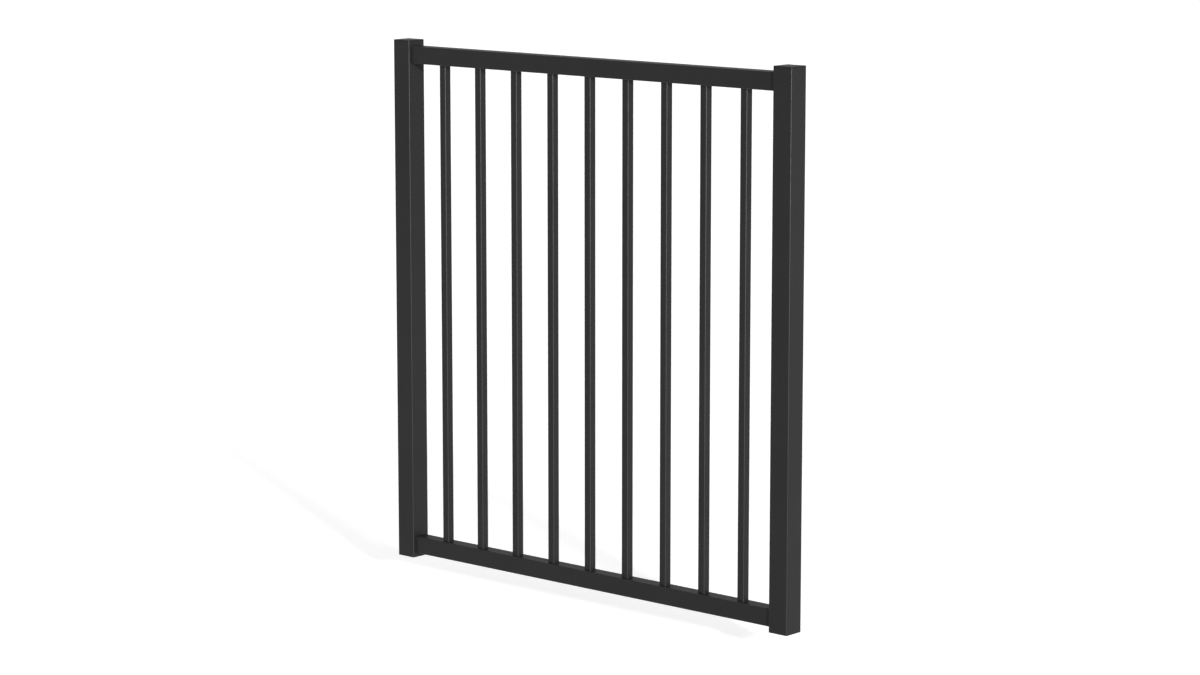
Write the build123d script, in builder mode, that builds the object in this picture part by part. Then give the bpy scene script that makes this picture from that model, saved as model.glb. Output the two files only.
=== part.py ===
import os

from build123d import *

# Fence gate leaf of welded square tube: an upright at each side, a top and a bottom rail
# between them, and a row of square pickets let into holes punched in the rails.
# Millimetres. X runs along the gate, Y through it with the front at -Y, and Z is up.
# The origin is at the foot of the left upright's outer face, on its middle line.

# Overall
gate_width = 1170.0       # outer face to outer face of the uprights
upright_length = 1215.0   # cut length of the upright tube

# Uprights: square tube, cut square and plugged at both ends
upright_size = 50.0
upright_wall = 2.0
upright_corner = 2.5      # outer corner radius

# Rails: rectangular tube, laid with its longer side upright
rail_depth = 36.0
rail_height = 40.0
rail_wall = 2.0
rail_corner = 2.5
rail_inset = 10.0         # from each end of the upright tube to the rail next to it

# Pickets: light square tube
picket_count = 9
picket_size = 19.0
picket_wall = 1.2
picket_corner = 3.0
picket_let_in = 12.0      # how far a picket's end stands inside its rail
punch_clearance = 0.25    # between a picket and its punched hole, on each side
end_bay = 81.5            # clear gap between an upright and the picket next to it

# Top caps: moulded, pressed into the tube, with a lid that covers its cut end
cap_lid = 4.0
cap_top_round = 1.0       # rounding of the lid's upper edge
cap_seam_bevel = 0.6      # bevel of the lid's lower edge, which leaves a fine seam line

# Foot plugs: moulded, pressed in flush with the cut end
plug_floor = 3.0
plug_play = 0.1           # between the plug's floor and the tube's inner face

# Skirt of a cap or plug: the hollow ribbed stub that holds inside the tube
skirt_depth = 16.0
skirt_wall = 2.0
skirt_clearance = 0.5     # between the skirt and the tube's inner face
skirt_lead_in = 0.8       # bevel round the skirt's free end
rib_count = 3             # grip ribs on each side of the skirt
rib_pitch = 12.0
rib_width = 1.6
rib_play = 0.1            # between a rib's crest and the tube's inner face
rib_stop = 3.0            # from the skirt's free end to the end of its ribs

# Welds: a fillet run down the back of each rail end and on along its underside
weld_leg = 3.0            # along the upright and along the rail

# No inner corner of a tube is sharper than this
least_inner_corner = 0.3

# Hollow sections
upright_bore = upright_size - 2 * upright_wall
upright_bore_corner = max(upright_corner - upright_wall, least_inner_corner)
rail_bore_depth = rail_depth - 2 * rail_wall
rail_bore_height = rail_height - 2 * rail_wall
rail_bore_corner = max(rail_corner - rail_wall, least_inner_corner)
picket_bore = picket_size - 2 * picket_wall
picket_bore_corner = max(picket_corner - picket_wall, least_inner_corner)

# Places along the gate
upright_middles = {"left": upright_size / 2, "right": gate_width - upright_size / 2}
rail_length = gate_width - 2 * upright_size
picket_pitch = (rail_length - 2 * end_bay - picket_size) / (picket_count - 1)
first_picket = upright_size + end_bay + picket_size / 2
picket_lines = [first_picket + index * picket_pitch for index in range(picket_count)]

# Heights
bottom_rail_foot = rail_inset
bottom_rail_top = bottom_rail_foot + rail_height
top_rail_foot = upright_length - rail_inset - rail_height
picket_foot = bottom_rail_top - picket_let_in
picket_length = top_rail_foot + picket_let_in - picket_foot

# Fits
punched_hole = picket_size + 2 * punch_clearance
punched_corner = picket_corner + punch_clearance
skirt_size = upright_bore - 2 * skirt_clearance
skirt_corner = upright_bore_corner + skirt_clearance
rib_height = skirt_clearance - rib_play
plug_size = upright_bore - 2 * plug_play

os.makedirs("parts", exist_ok=True)


def save(piece, name):
    """Name a finished piece and write it to its own file."""
    piece.label = name
    export_step(piece, f"parts/{name}.step")


# Uprights: each tube stands on its cut end, with its outer face at the gate's end
for side, middle in upright_middles.items():
    with BuildPart() as upright:
        with BuildSketch(Plane(origin=(middle, 0, 0))):
            RectangleRounded(upright_size, upright_size, upright_corner)
            RectangleRounded(upright_bore, upright_bore, upright_bore_corner, mode=Mode.SUBTRACT)
        extrude(amount=upright_length)
    save(upright.part, f"{side}_upright")


def ribbed_skirt(root):
    """The stub that holds a cap or plug, grown from its root plane along the plane's normal."""
    with BuildPart() as skirt:
        with BuildSketch(root):
            RectangleRounded(skirt_size, skirt_size, skirt_corner)
            inside = skirt_size - 2 * skirt_wall
            Rectangle(inside, inside, mode=Mode.SUBTRACT)
        extrude(amount=skirt_depth)
        free_end = skirt.faces().sort_by(Axis(root.origin, root.z_dir))[-1]
        chamfer(free_end.outer_wire().edges(), skirt_lead_in)
        with BuildSketch(root):
            with PolarLocations(skirt_size / 2, 4):
                with GridLocations(0, rib_pitch, 1, rib_count):
                    Rectangle(2 * rib_height, rib_width)
        extrude(amount=skirt_depth - rib_stop)
    return skirt.part


# Top caps: the lid's lower face seats on the cut end of the tube
for side, middle in upright_middles.items():
    cut_end = (middle, 0, upright_length)
    cap_skirt = ribbed_skirt(Plane(origin=cut_end, x_dir=(1, 0, 0), z_dir=(0, 0, -1)))
    with BuildPart() as cap:
        with BuildSketch(Plane(origin=cut_end)):
            RectangleRounded(upright_size, upright_size, upright_corner)
        extrude(amount=cap_lid)
        fillet(cap.faces().sort_by(Axis.Z)[-1].edges(), cap_top_round)
        chamfer(cap.faces().sort_by(Axis.Z)[0].edges(), cap_seam_bevel)
        add(cap_skirt)
    save(cap.part, f"{side}_top_cap")

# Foot plugs: the floor closes the tube flush with its cut end
for side, middle in upright_middles.items():
    plug_skirt = ribbed_skirt(Plane(origin=(middle, 0, plug_floor)))
    with BuildPart() as plug:
        with BuildSketch(Plane(origin=(middle, 0, 0))):
            RectangleRounded(plug_size, plug_size, upright_bore_corner)
        extrude(amount=plug_floor)
        add(plug_skirt)
    save(plug.part, f"{side}_foot_plug")

# Rails: the tube butts between the uprights, and the wall that faces the pickets is punched
punched_faces = {
    "bottom_rail": Plane(origin=(0, 0, bottom_rail_top), x_dir=(1, 0, 0), z_dir=(0, 0, -1)),
    "top_rail": Plane(origin=(0, 0, top_rail_foot)),
}
rail_feet = {"bottom_rail": bottom_rail_foot, "top_rail": top_rail_foot}

for name, foot in rail_feet.items():
    with BuildPart() as rail:
        with BuildSketch(Plane.YZ.offset(upright_size)):
            with Locations((0, foot + rail_height / 2)):
                RectangleRounded(rail_depth, rail_height, rail_corner)
                RectangleRounded(
                    rail_bore_depth, rail_bore_height, rail_bore_corner, mode=Mode.SUBTRACT
                )
        extrude(amount=rail_length)
        with BuildSketch(punched_faces[name]):
            with Locations(*[(line, 0) for line in picket_lines]):
                RectangleRounded(punched_hole, punched_hole, punched_corner)
        extrude(amount=picket_let_in, mode=Mode.SUBTRACT)
    save(rail.part, name)

# Pickets: each stands inside the bottom rail and reaches up into the top one
for number, line in enumerate(picket_lines, start=1):
    with BuildPart() as picket:
        with BuildSketch(Plane(origin=(line, 0, picket_foot))):
            RectangleRounded(picket_size, picket_size, picket_corner)
            RectangleRounded(picket_bore, picket_bore, picket_bore_corner, mode=Mode.SUBTRACT)
        extrude(amount=picket_length)
    save(picket.part, f"picket_{number}")

# Welds: each run follows the rail's outline on the upright's inner face, from the top of the
# rail's back, round its lower back corner and along its underside to the front corner
weld_seats = {"left": (upright_size, 1), "right": (gate_width - upright_size, -1)}

for name, foot in rail_feet.items():
    for side, (seat, inward) in weld_seats.items():
        run_start = (rail_depth / 2, foot + rail_height - rail_corner)
        run_heel = (rail_depth / 2, foot)
        run_end = (rail_corner - rail_depth / 2, foot)
        across_start = Plane(
            origin=(seat, run_start[0], run_start[1]), x_dir=(0, 1, 0), z_dir=(0, 0, -1)
        )
        with BuildPart() as weld:
            with BuildLine(Plane.YZ.offset(seat)):
                FilletPolyline(run_start, run_heel, run_end, radius=rail_corner)
            with BuildSketch(across_start):
                with BuildLine():
                    Polyline((0, 0), (weld_leg, 0), (0, inward * weld_leg), close=True)
                make_face()
            sweep()
        save(weld.part, f"{name}_{side}_weld")
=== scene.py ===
import math
import random

import bpy
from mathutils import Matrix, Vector


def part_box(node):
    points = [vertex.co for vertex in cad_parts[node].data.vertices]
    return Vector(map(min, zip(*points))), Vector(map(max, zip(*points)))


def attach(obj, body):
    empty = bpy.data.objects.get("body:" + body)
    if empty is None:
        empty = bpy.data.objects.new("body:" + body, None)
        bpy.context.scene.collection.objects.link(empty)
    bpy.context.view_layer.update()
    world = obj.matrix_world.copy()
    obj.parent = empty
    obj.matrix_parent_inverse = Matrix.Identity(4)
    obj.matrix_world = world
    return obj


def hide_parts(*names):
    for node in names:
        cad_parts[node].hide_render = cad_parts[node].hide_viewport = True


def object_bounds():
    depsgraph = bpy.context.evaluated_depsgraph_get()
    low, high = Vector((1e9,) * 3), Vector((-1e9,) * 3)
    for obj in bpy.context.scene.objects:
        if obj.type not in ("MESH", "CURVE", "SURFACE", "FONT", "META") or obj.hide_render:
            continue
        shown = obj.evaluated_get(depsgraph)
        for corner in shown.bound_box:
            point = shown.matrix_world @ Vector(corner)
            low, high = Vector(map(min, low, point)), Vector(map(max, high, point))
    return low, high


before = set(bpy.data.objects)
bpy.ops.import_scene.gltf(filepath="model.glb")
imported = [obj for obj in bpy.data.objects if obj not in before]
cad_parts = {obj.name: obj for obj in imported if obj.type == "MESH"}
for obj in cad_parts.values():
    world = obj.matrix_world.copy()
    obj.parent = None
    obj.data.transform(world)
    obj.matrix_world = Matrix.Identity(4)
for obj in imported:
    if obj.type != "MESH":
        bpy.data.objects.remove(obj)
cad_box = [list(corner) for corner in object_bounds()]

# Uprights
# Two lengths of 50 mm square steel tube that stand at the ends of the leaf. The whole frame is
# welded first, then blasted, sprayed with black polyester powder and baked to a satin skin, which
# has a fine orange peel, pulls back from every rounded corner and gathers dust where it faces up.
# The rounded corners are painted lighter, partly for the rubbed film and partly as a painted
# highlight.
coat_black = (0.0200, 0.0200, 0.0202, 1.0)
coat_black_thin = (0.0226, 0.0226, 0.0227, 1.0)  # where the film is lightest
coat_crests = (0.0330, 0.0330, 0.0328, 1.0)      # where single grains of powder stand proud
coat_arris_rub_and_highlight = (0.045, 0.045, 0.045, 1.0)          # rubbed film on the rounded corners, made lighter still as a painted highlight
coat_dust = (0.0262, 0.0260, 0.0256, 1.0)        # film of fine dust on faces that look up
coat_roughness = (0.33, 0.39)                    # untouched, and where handling has dulled it
arris_roughness = 0.30                           # where rubbing has polished the corners
dust_roughness = 0.38
coat_reflection = 0.107

# Waves are counted over a metre. Edges are the noise values between which a mark comes up.
film_clouds = 7.0            # how the film's build drifts
film_edges = (0.32, 0.68)
handling_clouds = 38.0       # patches that handling has dulled
handling_edges = (0.35, 0.7)
peel_waves = 400.0           # orange peel, 2.5 mm from crest to crest
peel_depth = 0.000045
grain_waves = 1900.0         # powder grain that never quite flowed out
grain_edges = (0.35, 0.75)
grain_depth = 0.000011
crest_share = 0.5            # how much of their own colour the highest crests take
rub_and_highlight_waves = 160.0            # breaks in the rubbed film and its painted highlight along a corner
rub_and_highlight_edges = (0.2, 0.6)
least_rub_and_highlight = 0.55             # what is left of the rubbing and painted highlight in a break
dust_waves = 90.0            # drifts in the dust
dust_edges = (0.2, 0.6)
least_dust = 0.7             # what is left of the dust between two drifts
arris_turn = (0.97, 0.80)    # a normal's largest part where a rounded corner starts, and well in it
upward_turn = (0.75, 0.98)   # a normal's upward part where dust starts to lie, and where it is thick


def empty_tree(material):
    """The node tree of a new material, holding one shader on its output."""
    material.use_nodes = True
    tree = material.node_tree
    tree.nodes.clear()
    output = tree.nodes.new("ShaderNodeOutputMaterial")
    shader = tree.nodes.new("ShaderNodeBsdfPrincipled")
    tree.links.new(shader.outputs["BSDF"], output.inputs["Surface"])
    return tree, shader


def grain(tree, place, waves, detail=2.0):
    """An even noise with so many waves in a metre."""
    texture = tree.nodes.new("ShaderNodeTexNoise")
    texture.inputs["Scale"].default_value = waves
    texture.inputs["Detail"].default_value = detail
    tree.links.new(place, texture.inputs["Vector"])
    return texture.outputs["Fac"]


def reach(tree, value, start, end, low=0.0, high=1.0):
    """Runs smoothly from low to high while the value goes from start to end."""
    ramp = tree.nodes.new("ShaderNodeMapRange")
    ramp.interpolation_type = "SMOOTHSTEP"
    for socket, number in (
        ("From Min", start), ("From Max", end), ("To Min", low), ("To Max", high),
    ):
        ramp.inputs[socket].default_value = number
    tree.links.new(value, ramp.inputs["Value"])
    return ramp.outputs["Result"]


def reckon(tree, operation, first, second):
    """One sum on two values, either of which may be a plain number."""
    node = tree.nodes.new("ShaderNodeMath")
    node.operation = operation
    for socket, value in zip(node.inputs, (first, second)):
        if isinstance(value, (int, float)):
            socket.default_value = value
        else:
            tree.links.new(value, socket)
    return node.outputs[0]


def tint(tree, factor, under, over):
    """Lays one colour over another, each a plain colour or another tint."""
    mix = tree.nodes.new("ShaderNodeMix")
    mix.data_type = "RGBA"
    tree.links.new(factor, mix.inputs["Factor"])
    for socket, colour in (("A", under), ("B", over)):
        if isinstance(colour, tuple):
            mix.inputs[socket].default_value = colour
        else:
            tree.links.new(colour, mix.inputs[socket])
    return mix.outputs["Result"]


def blend(tree, factor, under, over):
    """The same for two numbers."""
    mix = tree.nodes.new("ShaderNodeMix")
    tree.links.new(factor, mix.inputs["Factor"])
    for socket, value in (("A", under), ("B", over)):
        if isinstance(value, (int, float)):
            mix.inputs[socket].default_value = value
        else:
            tree.links.new(value, mix.inputs[socket])
    return mix.outputs["Result"]


def relief(tree, height, depth, over=None):
    """A bump so many metres deep, laid over a coarser one."""
    bump = tree.nodes.new("ShaderNodeBump")
    bump.inputs["Distance"].default_value = depth
    tree.links.new(height, bump.inputs["Height"])
    if over:
        tree.links.new(over, bump.inputs["Normal"])
    return bump.outputs["Normal"]


def arris_and_top(tree):
    """How far a spot lies round a rounded corner, and how far it looks up."""
    facing = tree.nodes.new("ShaderNodeSeparateXYZ")
    tree.links.new(tree.nodes.new("ShaderNodeTexCoord").outputs["Normal"], facing.inputs[0])
    x, y, z = (reckon(tree, "ABSOLUTE", axis, 0.0) for axis in facing.outputs)
    flattest = reckon(tree, "MAXIMUM", reckon(tree, "MAXIMUM", x, y), z)
    return reach(tree, flattest, *arris_turn), reach(tree, facing.outputs[2], *upward_turn)


def powder_coat(name, rubbed_and_highlit=True):
    """The baked coat, with rubbed corners that also carry a painted highlight. On a weld bead, whose
    ripples are all corners, neither is laid on.
    """
    material = bpy.data.materials.new(name)
    tree, shader = empty_tree(material)
    place = tree.nodes.new("ShaderNodeTexCoord").outputs["Object"]
    crests = grain(tree, place, peel_waves, detail=1.0)
    powder = grain(tree, place, grain_waves)
    film = reach(tree, grain(tree, place, film_clouds), *film_edges)
    handled = reach(tree, grain(tree, place, handling_clouds, detail=3.0), *handling_edges)
    arris, top = arris_and_top(tree)
    colour = tint(tree, film, coat_black, coat_black_thin)
    colour = tint(tree, reach(tree, powder, *grain_edges, high=crest_share), colour, coat_crests)
    roughness = blend(tree, handled, *coat_roughness)
    if rubbed_and_highlit:
        # The corners are painted lighter: partly rubbed film, partly a painted highlight.
        breaks = reach(tree, grain(tree, place, rub_and_highlight_waves), *rub_and_highlight_edges, low=least_rub_and_highlight)
        corner_lightening = reckon(tree, "MULTIPLY", arris, breaks)
        colour = tint(tree, corner_lightening, colour, coat_arris_rub_and_highlight)
        roughness = blend(tree, corner_lightening, roughness, arris_roughness)
    drifts = reach(tree, grain(tree, place, dust_waves, detail=4.0), *dust_edges, low=least_dust)
    settled = reckon(tree, "MULTIPLY", top, drifts)
    tree.links.new(tint(tree, settled, colour, coat_dust), shader.inputs["Base Color"])
    tree.links.new(blend(tree, top, roughness, dust_roughness), shader.inputs["Roughness"])
    shader.inputs["Specular IOR Level"].default_value = coat_reflection
    fine = relief(tree, powder, grain_depth, over=relief(tree, crests, peel_depth))
    tree.links.new(fine, shader.inputs["Normal"])
    return material


def finish(names, material):
    """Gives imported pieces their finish."""
    for name in names:
        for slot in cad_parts[name].material_slots:
            slot.material = material


coat = powder_coat("black_powder_coat")
finish(["left_upright", "right_upright"], coat)

# Rails
# Two lengths of 36 by 40 mm tube, butted between the uprights and welded there. The wall that faces
# the pickets is punched with nine square holes before welding, and the coat wraps into them.
finish(["bottom_rail", "top_rail"], coat)

# Pickets
# Nine lengths of 19 mm square tube, let into the punched holes with a hair's clearance, so that
# each one meets the rail in a fine dark line and has no bead round its foot.
finish([f"picket_{number}" for number in range(1, 10)], coat)

# Welds
# One fillet run at each rail end, laid down the rail's back and on along its underside, where it
# doesn't show from the front. Each is a row of small crescents, softened by the coat over it.
bead_step = 0.00022          # between the rings of the mesh along a run
bead_across = 12             # faces across the bead
bead_crown = 0.00045
bead_sink = 0.0003           # how deep the root lies in the steel
bead_lean = math.sqrt(0.5)   # the crown stands out at 45 degrees between rail and upright
ripple_pitch = 0.0016
ripple_height = 0.00022
ripple_level = 0.6           # the part of a ripple that lies below the plain crown
ripple_fullness = 0.7        # under 1 rounds the crests and narrows the valleys
ripple_bow = 0.0010          # how far each crescent's middle leads its toes
drift_length = 0.0003        # how far the ripples run ahead or fall behind an even beat
drift_turn = 260.0           # radians in a metre of run
wander_share = 0.07          # uneven width along the run
wander_turn = 190.0          # radians in a metre of run
wander_rates = (0.6, 1.4)    # slowest and fastest of the waves that make up the wander
wander_waves = 4
end_taper = 0.0030
end_width = 0.45             # share of the width that is left at the very ends
rail_round = 0.0025          # the rail's own corner radius, which a run follows


def bead_route(rail):
    """Stations down the back of a rail, round its lower corner and along its underside: each has a
    place in the YZ plane and the direction that looks away from the rail."""
    low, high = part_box(rail)
    back, foot, head, front = high[1], low[2], high[2], low[1]
    drop = (head - rail_round) - (foot + rail_round)
    turn = rail_round * math.pi / 2
    run = (back - rail_round) - (front + rail_round)
    total = drop + turn + run
    count = round(total / bead_step)
    for index in range(count + 1):
        s = total * index / count
        if s < drop:
            yield s, total, (back, head - rail_round - s), (1.0, 0.0)
        elif s < drop + turn:
            angle = (s - drop) / rail_round
            away = (math.cos(angle), -math.sin(angle))
            centre = (back - rail_round, foot + rail_round)
            yield s, total, tuple(c + rail_round * a for c, a in zip(centre, away)), away
        else:
            yield s, total, (back - rail_round - (s - drop - turn), foot), (0.0, -1.0)


def weld_bead(node, rail, seat, inward, leg, seed):
    """A rippled bead in place of a packed weld. Each ring has its face and then its sunk root."""
    rng = random.Random(seed)
    sway = [(rng.uniform(*wander_rates), rng.uniform(0, math.tau)) for _ in range(wander_waves)]
    verts, faces = [], []
    for s, total, (y, z), (away_y, away_z) in bead_route(rail):
        wander = sum(math.sin(s * wander_turn * rate + start) for rate, start in sway) / len(sway)
        ends = min(1.0, min(s, total - s) / end_taper)
        narrowing = end_width + (1 - end_width) * math.sqrt(ends * (2 - ends))
        width = leg * (1 + wander_share * (wander - 1)) * narrowing
        beat = s + drift_length * math.sin(s * drift_turn + seed)
        for step in range(bead_across + 1):
            u = step / bead_across
            lead = ripple_bow * (1 - (2 * u - 1) ** 2)
            ripple = abs(math.sin(math.pi * (beat - lead) / ripple_pitch)) ** ripple_fullness
            bulge = math.sin(math.pi * u)
            lift = bulge * (bead_crown + ripple_height * (ripple - ripple_level)) * ends
            along = width * (1 - u) + lift * bead_lean
            out = width * u + lift * bead_lean
            verts.append((seat + inward * along, y + away_y * out, z + away_z * out))
        verts.append((seat - inward * bead_sink, y - away_y * bead_sink, z - away_z * bead_sink))
    ring = bead_across + 2
    rings = len(verts) // ring
    for row in range(rings - 1):
        for step in range(ring):
            a, b = row * ring + step, row * ring + (step + 1) % ring
            faces.append((a, b, b + ring, a + ring))
    faces.append(tuple(reversed(range(ring))))
    faces.append(tuple(range((rings - 1) * ring, rings * ring)))
    mesh = bpy.data.meshes.new(f"{node}_bead")
    mesh.from_pydata(verts, [], [face[::-inward] for face in faces])
    mesh.polygons.foreach_set("use_smooth", [len(face) == 4 for face in faces])
    mesh.validate()
    mesh.materials.append(bead_coat)
    bead = bpy.data.objects.new(f"{node}_bead", mesh)
    bpy.context.scene.collection.objects.link(bead)
    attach(bead, "root")
    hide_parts(node)


bead_coat = powder_coat("black_powder_coat_on_weld", rubbed_and_highlit=False)
for seed, rail in enumerate(("bottom_rail", "top_rail"), start=1):
    for side, inward in (("left", 1), ("right", -1)):
        node = f"{rail}_{side}_weld"
        low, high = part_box(node)
        seat = low[0] if side == "left" else high[0]
        weld_bead(node, rail, seat, inward, leg=high[0] - low[0], seed=2 * seed + inward)

# Top caps
# Moulded lids, black like the tube, pressed into the upper ends with a ribbed skirt. They are a
# little duller than the coat, with the fine spark grain of the mould and scuffed rims.
cap_black = (0.0190, 0.0190, 0.0192, 1.0)
cap_scuffed = (0.036, 0.036, 0.036, 1.0)
cap_roughness = 0.46
cap_reflection = 0.14
spark_waves = 1100.0
spark_depth = 0.00002
scuff_waves = 210.0          # breaks in the scuffing along a rim
scuff_edges = (0.25, 0.65)
least_scuff = 0.4            # what is left of the scuffing in a break
patch_waves = 60.0           # patches where the mould was smoother or rougher
patch_edges = (0.3, 0.7)
patch_change = (-0.04, 0.05)  # of the roughness, from the smoothest patch to the roughest


def moulded_plastic(name, black, scuffed, roughness, reflection):
    """Satin or dull plastic as it comes out of a spark-grained mould."""
    material = bpy.data.materials.new(name)
    tree, shader = empty_tree(material)
    place = tree.nodes.new("ShaderNodeTexCoord").outputs["Object"]
    arris, top = arris_and_top(tree)
    breaks = reach(tree, grain(tree, place, scuff_waves, detail=3.0), *scuff_edges, low=least_scuff)
    corner_lightening = reckon(tree, "MULTIPLY", arris, breaks)
    tree.links.new(tint(tree, corner_lightening, black, scuffed), shader.inputs["Base Color"])
    smoothest, roughest = (roughness + change for change in patch_change)
    patches = grain(tree, place, patch_waves, detail=3.0)
    patches = reach(tree, patches, *patch_edges, low=smoothest, high=roughest)
    tree.links.new(blend(tree, top, patches, dust_roughness), shader.inputs["Roughness"])
    shader.inputs["Specular IOR Level"].default_value = reflection
    sparks = grain(tree, place, spark_waves, detail=3.0)
    tree.links.new(relief(tree, sparks, spark_depth), shader.inputs["Normal"])
    return material


finish(
    ["left_top_cap", "right_top_cap"],
    moulded_plastic("cap_plastic_black", cap_black, cap_scuffed, cap_roughness, cap_reflection),
)

# Foot plugs
# The same kind of moulding in a softer plastic, pushed up flush with the cut foot of each upright
# to keep water and dirt out. It only shows from below, dull and a shade darker than the coat.
plug_black = (0.017, 0.017, 0.017, 1.0)
plug_scuffed = (0.030, 0.030, 0.030, 1.0)
plug_roughness = 0.58
plug_reflection = 0.14
finish(
    ["left_foot_plug", "right_foot_plug"],
    moulded_plastic(
        "plug_plastic_black", plug_black, plug_scuffed, plug_roughness, plug_reflection
    ),
)

# Floor and surround
# A plain pale floor 60 mm under the leaf, which hangs clear of the ground, and a plain pale grey
# wall round it. For the camera and in the gloss the floor adds enough white of its own to show
# white, keeps the faint shadow, and runs up into the wall in a soft cove.
floor_half = 40.0            # from the middle of the floor to each side
floor_level = -0.06
floor_pale = (0.8, 0.8, 0.8, 1.0)
floor_white = 0.55           # strength of the white that the floor adds
white = (1.0, 1.0, 1.0, 1.0)
cove_light = 1.0             # strength of the surround at the foot of the wall
surround_light = 0.43        # and above the cove
cove_reach = (-0.02, 0.03)   # how low the cove starts and how high it ends, seen from the leaf

mesh = bpy.data.meshes.new("floor")
mesh.from_pydata(
    [(x, y, floor_level) for x, y in
     ((-floor_half, -floor_half), (floor_half, -floor_half), (floor_half, floor_half),
      (-floor_half, floor_half))],
    [], [(0, 1, 2, 3)],
)
floor = bpy.data.objects.new("floor", mesh)
bpy.context.scene.collection.objects.link(floor)


def seen_or_mirrored(tree):
    """1 for what the camera sees, straight or in a gloss, and 0 for light that falls on things."""
    path = tree.nodes.new("ShaderNodeLightPath")
    seen = reckon(tree, "MAXIMUM", path.outputs["Is Camera Ray"], path.outputs["Is Glossy Ray"])
    return reckon(tree, "MAXIMUM", seen, path.outputs["Is Transmission Ray"])


floor_material = bpy.data.materials.new("pale_floor")
tree, shader = empty_tree(floor_material)
shader.inputs["Base Color"].default_value = floor_pale
shader.inputs["Roughness"].default_value = 1.0
shader.inputs["Specular IOR Level"].default_value = 0.0
shader.inputs["Emission Color"].default_value = white
own_white = reckon(tree, "MULTIPLY", seen_or_mirrored(tree), floor_white)
tree.links.new(own_white, shader.inputs["Emission Strength"])
mesh.materials.append(floor_material)

surround = bpy.data.worlds.new("white_surround")
surround.use_nodes = True
tree = surround.node_tree
sky = tree.nodes["Background"]
sky.inputs["Color"].default_value = white
way = tree.nodes.new("ShaderNodeSeparateXYZ")
tree.links.new(tree.nodes.new("ShaderNodeTexCoord").outputs["Generated"], way.inputs[0])
wall = reach(tree, way.outputs[2], *cove_reach, low=cove_light, high=surround_light)
tree.links.new(wall, sky.inputs["Strength"])
bpy.context.scene.world = surround

# Lamps
# Soft lamps a long way off: a low key to the right of the camera, a weak fill for the front and one
# for the back. The glint lamp stands nearer, shows only in the gloss of the coat and draws the
# bright lines down the rounded corners.
lamp_distance = 20.0         # only marks their place, since their rays run side by side
far_lamps = {
    # compass angle, height angle, spread, strength on a surface that faces it
    "key_lamp": (63.0, 14.6, 4.0, 2.40),
    "fill_lamp": (15.0, 0.0, 20.0, 0.20),
    "back_lamp": (214.0, 9.0, 12.0, 1.70),
}
glint_compass = 48.0
glint_distance = 10.0
glint_height = 0.60          # above the leaf's foot
glint_width = 0.8
glint_power = 1200.0


def towards(compass, height):
    """The direction from the leaf to a lamp at a compass angle and a height angle."""
    turn, rise = math.radians(compass), math.radians(height)
    return Vector((math.sin(turn) * math.cos(rise), -math.cos(turn) * math.cos(rise), math.sin(rise)))


def hang_lamp(name, light, direction, place):
    """A lamp that shines back along the direction in which the leaf sees it."""
    lamp = bpy.data.objects.new(name, light)
    lamp.location = place
    lamp.rotation_euler = direction.to_track_quat("Z", "Y").to_euler()
    lamp.visible_camera = False
    bpy.context.scene.collection.objects.link(lamp)
    return lamp


leaf_middle = sum((Vector(corner) for corner in cad_box), Vector()) / 2
for name, (compass, height, spread, strength) in far_lamps.items():
    light = bpy.data.lights.new(name, "SUN")
    light.angle = math.radians(spread)
    light.energy = strength
    direction = towards(compass, height)
    lamp = hang_lamp(name, light, direction, leaf_middle + lamp_distance * direction)
    lamp.visible_glossy = name != "back_lamp"

light = bpy.data.lights.new("glint_lamp", "AREA")
light.shape = "DISK"
light.size = glint_width
light.energy = glint_power
direction = towards(glint_compass, 0.0)
place = leaf_middle + glint_distance * direction
place.z = glint_height
hang_lamp("glint_lamp", light, direction, place).visible_diffuse = False

# Camera
# Stands to the right of the leaf and a little above it, with a long lens, and looks slightly down.
camera_place = (5.4887, -5.5108, 1.7935)
camera_compass = 41.490
camera_pitch = 9.3315        # below level
camera_lens = 100.4645
camera_sensor = 36.0
lens = bpy.data.cameras.new("camera")
lens.lens = camera_lens
lens.sensor_width = camera_sensor
lens.sensor_fit = "HORIZONTAL"
camera = bpy.data.objects.new("camera", lens)
camera.location = camera_place
camera.rotation_euler = (math.radians(90.0 - camera_pitch), 0.0, math.radians(camera_compass))
bpy.context.scene.collection.objects.link(camera)
bpy.context.scene.camera = camera
bpy.context.scene.view_settings.view_transform = "Standard"
